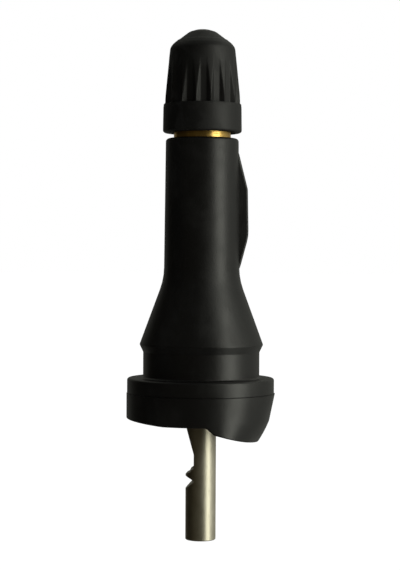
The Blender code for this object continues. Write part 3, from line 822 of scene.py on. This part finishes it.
# Core pin. A stainless pin through the whole core: a head just below the stem's mouth, a collar that the spring
# pushes up, and a foot riveted under the cup. Pressing its head opens the valve.
pin_low, pin_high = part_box("core_pin")
head_radius = 0.95 * MM
head_height = 0.50 * MM
pin_collar_radius = 1.10 * MM
pin_collar_height = 0.40 * MM
pin_collar_gap = 0.10 * MM
pin_foot_height = 0.30 * MM
head_edge = 0.15 * MM
pin_bright = (0.66, 0.64, 0.60)
pin_dull = (0.50, 0.48, 0.45)
pin_collar_z = spring_high.z + pin_collar_gap
foot_top_z = pin_low.z + pin_foot_height
pin = turned("riveted_core_pin", rounded([
    (0.0, pin_high.z, 0),
    (head_radius, pin_high.z, head_edge),
    (head_radius, pin_high.z - head_height, core_round),
    (pin_radius, pin_high.z - head_height - (head_radius - pin_radius), small_fillet),
    (pin_radius, pin_collar_z + pin_collar_height, fine_fillet),
    (pin_collar_radius, pin_collar_z + pin_collar_height, core_fillet),
    (pin_collar_radius, pin_collar_z, core_fillet),
    (pin_radius, pin_collar_z, fine_fillet),
    (pin_radius, foot_top_z, 0),
    (head_radius, foot_top_z, fine_fillet),
    (head_radius, foot_top_z - pin_foot_height / 2, small_fillet),
    (pin_radius, pin_low.z, small_fillet),
    (0.0, pin_low.z, 0),
]), core_segments, closed=False)
fit(pin, "pin", "core_pin", drawn_steel("pin_steel", pin_bright, pin_dull))


# Core cup. A shallow cup pressed from thin brass, held on the pin by its riveted foot.
# It carries the washer that closes the lower end of the barrel.
cup_low, cup_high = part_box("core_cup")
cup_radius = cup_high.x
cup_wall = 0.25 * MM
cup_floor = 0.40 * MM
cup_edge = 0.15 * MM
cup_hole = pin_radius + core_fit
cup = turned("pressed_core_cup", rounded([
    (cup_radius, cup_high.z, 0),
    (cup_radius, cup_low.z, cup_edge),
    (cup_hole, cup_low.z, fine_fillet),
    (cup_hole, cup_low.z + cup_floor, fine_fillet),
    (cup_radius - cup_wall, cup_low.z + cup_floor, core_round),
    (cup_radius - cup_wall, cup_high.z, core_fillet),
    (cup_radius - cup_wall / 2, cup_high.z, 0),
]), core_segments)
fit(cup, "pin", "core_cup", core_brass)


# Cup washer. A black rubber washer that fills the cup and stands a little proud of it.
# The spring pulls it against the lip of the barrel, which shuts the valve.
washer_low, washer_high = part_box("core_cup_seal")
washer_radius = washer_high.x
washer_fillet = 0.04 * MM
washer_pale = (0.030, 0.030, 0.031)
washer_black = (0.016, 0.016, 0.016)
washer_grain = 0.07 * MM
washer_rubber = moulded_seal("washer_rubber", washer_pale, washer_black, washer_grain)
washer = turned("core_cup_washer", rounded([
    (washer_radius, washer_high.z, 0),
    (washer_radius, washer_low.z, core_fillet),
    (cup_hole, washer_low.z, washer_fillet),
    (cup_hole, washer_high.z, washer_fillet),
    ((cup_hole + washer_radius) / 2, washer_high.z, 0),
]), core_segments)
fit(washer, "pin", "core_cup_seal", washer_rubber)


# Cap seal. A moulded rubber ring in the cap's ceiling, pressed on the end of the stem when the cap is tight.
# A low bead runs round its lower face.
seal_low, seal_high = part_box("cap_seal")
seal_outer = seal_high.x
seal_inner = 2.45 * MM
seal_edge = 0.15 * MM
bead_height = 0.12 * MM
bead_middle = (seal_inner + seal_outer) / 2
seal_pale = (0.036, 0.036, 0.037)
seal_black = (0.020, 0.020, 0.020)
seal_grain = 0.09 * MM
seal = turned("moulded_cap_seal", rounded([
    (bead_middle, seal_high.z, 0),
    (seal_outer, seal_high.z, seal_edge),
    (seal_outer, seal_low.z + bead_height, seal_edge),
    (bead_middle + 2 * bead_height, seal_low.z + bead_height, fine_fillet),
    (bead_middle, seal_low.z, bead_height),
    (bead_middle - 2 * bead_height, seal_low.z + bead_height, fine_fillet),
    (seal_inner, seal_low.z + bead_height, seal_edge),
    (seal_inner, seal_high.z, 0),
]), core_segments)
seal_rubber = moulded_seal("seal_rubber", seal_pale, seal_black, seal_grain)
fit(seal, "seal", "cap_seal", seal_rubber)


# Valve cap. Black moulded plastic with sixteen wedge flutes for the fingers, a low dome and a plain collar. The
# thread inside is moulded with it, and it screws down on the stem until the seal is tight.
cap_low, cap_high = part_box("valve_cap")
cap_z = cap_low.z
cap_flutes = 16
columns_per_flute = 23
cap_bore = 4.05 * MM
cap_wall = 1.14 * MM
collar_draft = 0.05 * MM
collar_height = 3.35 * MM
collar_step = 0.05 * MM
collar_slope = 0.40 * MM
grip_fillet = 0.25 * MM
shoulder_height = 11.15 * MM
shoulder_radius = 4.26 * MM
shoulder_corner = (3.86 * MM, 1.89 * MM)
shoulder_fillet = 1.00 * MM
crown_drop = 0.06 * MM
crown_radius = 3.12 * MM
crown_rise = 1.34 * MM
crown_step = 0.06 * MM
crown_ledge = 0.16 * MM
crown_edge = 0.03 * MM
nose_corners = ((0.80 * MM, 0.02 * MM, 0.80 * MM), (1.75 * MM, 0.30 * MM, 1.50 * MM))
cap_edge = 0.35 * MM
cap_ceiling = 1.95 * MM
ceiling_step = 0.20 * MM
ceiling_fillet = 0.50 * MM
flute_end = 3.78 * MM
flute_end_slope = 0.10 * MM
flute_floor = 0.83 * MM
flute_floor_radius = 4.47 * MM
flute_wall = math.tan(math.radians(50.0))
flute_softness = 0.10 * MM
skin_row = 0.12 * MM
skin_margin = 0.10 * MM
slope_rows = 5
cap_clocking = math.radians(1.6)
cap_crease = 40.0
cap_thread_start = 1.60 * MM
cap_thread_end = 7.30 * MM
bore_thread_depth = cap_thread_depth + 0.05 * MM
bore_rows = 8
bore_reach = 0.02 * MM
bore_margin = 0.05 * MM
pocket_fit = 0.05 * MM
pocket_top = seal_high.z - cap_z + 0.10 * MM
plastic_black = (0.0030, 0.0030, 0.0030)
plastic_bloom = (0.0055, 0.0055, 0.0052)
plastic_grain = 0.11 * MM
plastic_ripple = 1.1 * MM
plastic_smear = 3.2 * MM
plastic_relief = 0.014 * MM


def soft_least(first, second, softness):
    """The smaller of two lengths, with the corner between them rounded."""
    share = min(max(0.5 + (second - first) / (2 * softness), 0.0), 1.0)
    return first * share + second * (1 - share) - softness * share * (1 - share)


def flute_radius(angle):
    """How far out the fluted section reaches at an angle: flat floors with sloped walls that meet in ridges."""
    pitch = math.tau / cap_flutes
    turn = abs((angle + pitch / 2) % pitch - pitch / 2)
    reach = []
    for side in (turn, pitch - turn):
        floor = flute_floor_radius / math.cos(side)
        wall = (flute_floor_radius * flute_wall - flute_floor / 2) / (flute_wall * math.cos(side) - math.sin(side))
        reach.append(-soft_least(-floor, -wall, flute_softness / 3))
    return soft_least(reach[0], reach[1], flute_softness / 2)


def cut_flutes(piece):
    """Draw the cap's skin in to the fluted section, above the collar and up to where the flutes run out."""
    for vertex in piece.data.vertices:
        across = math.hypot(vertex.co.x, vertex.co.y)
        height = vertex.co.z - cap_z
        if across < cap_bore + bore_margin or height < flute_end - flute_end_slope / 2:
            continue
        depth = min(max((height - flute_end) / flute_end_slope + 0.5, 0.0), 1.0)
        wanted = soft_least(across, flute_radius(math.atan2(vertex.co.y, vertex.co.x)), flute_softness)
        wanted = across + (wanted - across) * depth * depth * (3 - 2 * depth)
        vertex.co.x *= wanted / across
        vertex.co.y *= wanted / across


def moulded_plastic():
    """Black moulded plastic: a fine spark-eroded grain, soft ripples and paler handling smears."""
    made, shader, place = new_finish("moulded_plastic")
    grain = place.noise(plastic_grain, 4.0, 0.6)
    ripple = place.noise(plastic_ripple, 3.0, 0.55, 0.3)
    smear = place.noise(plastic_smear, 4.0, 0.6, 1.0)
    bloom = smear.between(0.44, 0.66)
    height = 0.5 * grain + 0.4 * ripple
    wire(shader, Base_Color=bloom.tint(plastic_black, plastic_bloom))
    wire(shader, Roughness=0.50 + 0.08 * bloom + 0.12 * grain, Normal=bumped(height, plastic_relief, 0.9))
    return made


grip_radius = cap_bore + cap_wall - collar_draft - collar_step
nose_z = cap_high.z - crown_drop
crown_z = nose_z - crown_rise
nose = [(0.0, nose_z, 0)] + [(radius, nose_z - drop, fillet) for radius, drop, fillet in nose_corners]
skin_outline = rounded(nose + [
    (crown_radius, crown_z, crown_edge),
    (crown_radius + crown_ledge, crown_z - crown_step, crown_edge),
    (shoulder_corner[0], nose_z - shoulder_corner[1], shoulder_fillet),
    (shoulder_radius, cap_z + shoulder_height, shoulder_fillet),
    (grip_radius, cap_z + collar_height + collar_slope, grip_fillet),
    (cap_bore + cap_wall - collar_draft, cap_z + collar_height, grip_fillet),
    (cap_bore + cap_wall, cap_z, cap_edge),
    (cap_bore + cap_edge, cap_z, small_fillet),
    (cap_bore, cap_z + cap_edge, 0),
])


def refine(outline, low, high, spacing):
    """Add points to the parts of an outline that lie between two heights, so that a pattern can be cut there."""
    finer = [outline[0]]
    for here, there in zip(outline, outline[1:]):
        if low <= min(here.y, there.y) and max(here.y, there.y) <= high:
            count = max(1, math.ceil((there - here).length / spacing))
            finer += [here.lerp(there, step / count) for step in range(1, count)]
        finer.append(there)
    return finer


grip_low = cap_z + flute_end - 2 * flute_end_slope
outline = refine(skin_outline, grip_low - skin_margin, cap_high.z, skin_row)
below = cap_z + flute_end - flute_end_slope / 2
above = cap_z + flute_end + flute_end_slope / 2
extra = [Vector((grip_radius, below + (above - below) * step / slope_rows)) for step in range(slope_rows + 1)]
outline = [point for point in outline if not (point.x > cap_bore + skin_margin and below < point.y < above)]
place_at = next(index for index, point in enumerate(outline) if point.y <= below and point.x > cap_bore)
outline[place_at:place_at] = list(reversed(extra))
thread_heights = rows(cap_z + cap_edge, cap_z + cap_thread_end, cap_pitch / bore_rows)
outline += [Vector((cap_bore, height)) for height in thread_heights]
outline += rounded([
    (cap_bore, cap_z + cap_thread_end, 0),
    (cap_bore, seal_low.z - pocket_fit, small_fillet),
    (seal_outer + pocket_fit, seal_low.z - pocket_fit, 0),
    (seal_outer + pocket_fit, cap_z + pocket_top, small_fillet),
    (seal_inner, cap_z + pocket_top, small_fillet),
    (seal_inner - ceiling_step, cap_high.z - cap_ceiling, ceiling_fillet),
    (0.0, cap_high.z - cap_ceiling, 0),
])
cap = turned("fluted_valve_cap", outline, cap_flutes * columns_per_flute, closed=False)
cut_flutes(cap)
cut_thread(cap, cap_bore, bore_reach, cap_z + cap_thread_start, cap_z + cap_thread_end, cap_pitch,
           bore_thread_depth, (cap_pitch, cap_pitch / 2))
bpy.ops.object.select_all(action="DESELECT")
bpy.context.view_layer.objects.active = cap
cap.select_set(True)
cap.rotation_euler.z = cap_clocking
bpy.ops.object.transform_apply(location=False, rotation=True, scale=False)
fit(cap, "cap", "valve_cap", moulded_plastic(), cap_crease)


# Studio. A pale floor well below the part, a tall soft box on the right and soft light all round.
# Dark boards on the left and grey ones on the right shape what the gloss shows, as in the photograph.
floor_drop = 30.0 * MM
floor_size = 12.0
floor_glow = 0.75
floor_level = 1.22
paper_white = (0.92, 0.92, 0.92, 1.0)
white = (1.0, 1.0, 1.0, 1.0)
ambient_grey = (0.50, 0.50, 0.50, 1.0)
eye_distance = 220.0 * MM
eye_height = 16.05 * MM
eye_side = -0.21 * MM
eye_tilt = math.radians(1.0)
eye_roll = math.radians(0.28)
lens_mm = 105.5
film_mm = 36.0
clip_range = (0.01, 20.0)
box_angle = math.radians(58.0)
box_distance = 0.60
box_size = (0.30, 1.00)
box_energy = 3.4
board_distance = 1.20
board_top = 0.90
board_bend = 10.0
dark_level = 0.034
left_level = 0.013
dark_tint = (1.0, 0.85, 0.55)
back_level = 0.15
grey_level = 0.47
side_level = 0.28
ceiling_levels = (0.32, 0.66)
ceiling_start = 0.22
under_level = 0.08
front_level = 0.05
light_tint = (1.0, 1.01, 0.90)

bpy.ops.object.select_all(action="DESELECT")
bpy.ops.mesh.primitive_plane_add(size=floor_size, location=(0.0, 0.0, end_z - floor_drop))
floor = bpy.context.object
floor.name = "pale_floor"
bpy.ops.object.transform_apply()
floor_finish, shader, place = new_finish("pale_floor")
glow = place.node("Emission", {}, {"Color": white, "Strength": floor_level})
paper = place.node("BsdfDiffuse", {}, {"Color": paper_white})
rays = place.node("LightPath", {}, {})
mixed = place.node("MixShader", {}, {0: rays * floor_glow, 1: paper, 2: glow})
output = floor_finish.node_tree.nodes["Material Output"]
floor_finish.node_tree.links.new(mixed.socket, output.inputs["Surface"])
floor.data.materials.append(floor_finish)
floor.visible_glossy = False

world = bpy.data.worlds.new("soft_studio")
bpy.context.scene.world = world
world.use_nodes = True
world.cycles.sampling_method = "NONE"
tree = world.node_tree
tree.nodes.clear()
start = Pattern(tree)
seen = start.node("LightPath", {}, {})
glossy = start.node("LightPath", {}, {}, "Is Glossy Ray")
through = start.node("LightPath", {}, {}, "Is Transmission Ray")
shown = start.math("MAXIMUM", start.math("MAXIMUM", seen, glossy), through)
ambient = start.node("Background", {}, {"Color": ambient_grey, "Strength": 1.0})
backdrop = start.node("Background", {}, {"Color": white, "Strength": 1.0})
mixed = start.node("MixShader", {}, {0: shown, 1: ambient, 2: backdrop})
end = tree.nodes.new("ShaderNodeOutputWorld")
tree.links.new(mixed.socket, end.inputs["Surface"])


def board(made, name, level, tint):
    """Make a mesh a board of a grey level that is seen only in the part's gloss."""
    made.name = name
    finish = bpy.data.materials.new(name)
    finish.use_nodes = True
    finish.node_tree.nodes.clear()
    start = Pattern(finish.node_tree)
    glow = start.node("Emission", {}, {"Color": (*tint, 1.0), "Strength": level})
    end = finish.node_tree.nodes.new("ShaderNodeOutputMaterial")
    finish.node_tree.links.new(glow.socket, end.inputs["Surface"])
    made.data.materials.append(finish)
    made.visible_camera = False
    made.visible_diffuse = False
    made.visible_transmission = False
    made.visible_volume_scatter = False
    made.visible_shadow = False


def curved_board(name, low, high, level, tint):
    """A tall board bent round the part, between two angles that are counted to the right from the camera."""
    steps = math.ceil((high - low) / board_bend)
    angles = [math.radians(low + (high - low) * step / steps) for step in range(steps + 1)]
    places = [(board_distance * math.sin(angle), -board_distance * math.cos(angle)) for angle in angles]
    bpy.ops.object.select_all(action="DESELECT")
    bpy.ops.mesh.primitive_plane_add(size=MM)
    made = bpy.context.object
    bpy.ops.object.mode_set(mode="EDIT")
    bpy.ops.mesh.select_all(action="SELECT")
    bpy.ops.mesh.merge(type="CENTER")
    bpy.ops.transform.translate(value=(*places[0], -board_distance))
    for here, there in zip(places, places[1:]):
        step = (there[0] - here[0], there[1] - here[1], 0.0)
        bpy.ops.mesh.extrude_region_move(TRANSFORM_OT_translate={"value": step})
    bpy.ops.mesh.select_all(action="SELECT")
    rise = (0.0, 0.0, board_distance + board_top)
    bpy.ops.mesh.extrude_region_move(TRANSFORM_OT_translate={"value": rise})
    bpy.ops.object.mode_set(mode="OBJECT")
    board(made, name, level, tint)


curved_board("left_board", -135.0, -62.0, left_level, dark_tint)
curved_board("dark_board", -62.0, 58.0, dark_level, dark_tint)
curved_board("grey_board", 58.0, 108.0, grey_level, light_tint)
curved_board("side_board", 108.0, 165.0, side_level, light_tint)
curved_board("back_board", 165.0, 225.0, back_level, light_tint)
for name, side, middle, height, level in (
    ("left_ceiling", -board_distance, board_distance + ceiling_start, board_top, ceiling_levels[0]),
    ("right_ceiling", board_distance, board_distance + ceiling_start, board_top, ceiling_levels[1]),
    ("front_board", 0.0, -board_distance + ceiling_start, board_top, front_level),
    ("under_board", 0.0, 0.0, -board_distance, under_level),
):
    bpy.ops.object.select_all(action="DESELECT")
    bpy.ops.mesh.primitive_plane_add(size=2 * board_distance, location=(side, middle, height))
    board(bpy.context.object, name, level, light_tint)

box_place = (box_distance * math.sin(box_angle), -box_distance * math.cos(box_angle), eye_height)
bpy.ops.object.light_add(type="AREA", location=box_place)
soft_box = bpy.context.object
soft_box.name = "soft_box"
soft_box.data.shape = "RECTANGLE"
soft_box.data.size, soft_box.data.size_y = box_size
soft_box.data.energy = box_energy
soft_box.data.color = light_tint
soft_box.rotation_euler = (math.radians(90.0), 0.0, box_angle)

bpy.ops.object.camera_add(location=(eye_side, -eye_distance, eye_height))
camera = bpy.context.object
camera.data.lens = lens_mm
camera.data.sensor_width = film_mm
camera.data.clip_start, camera.data.clip_end = clip_range
facing = Matrix.Rotation(math.radians(90.0) - eye_tilt, 3, "X") @ Matrix.Rotation(eye_roll, 3, "Z")
camera.rotation_euler = facing.to_euler()
bpy.context.scene.camera = camera
bpy.context.scene.view_settings.view_transform = "Standard"
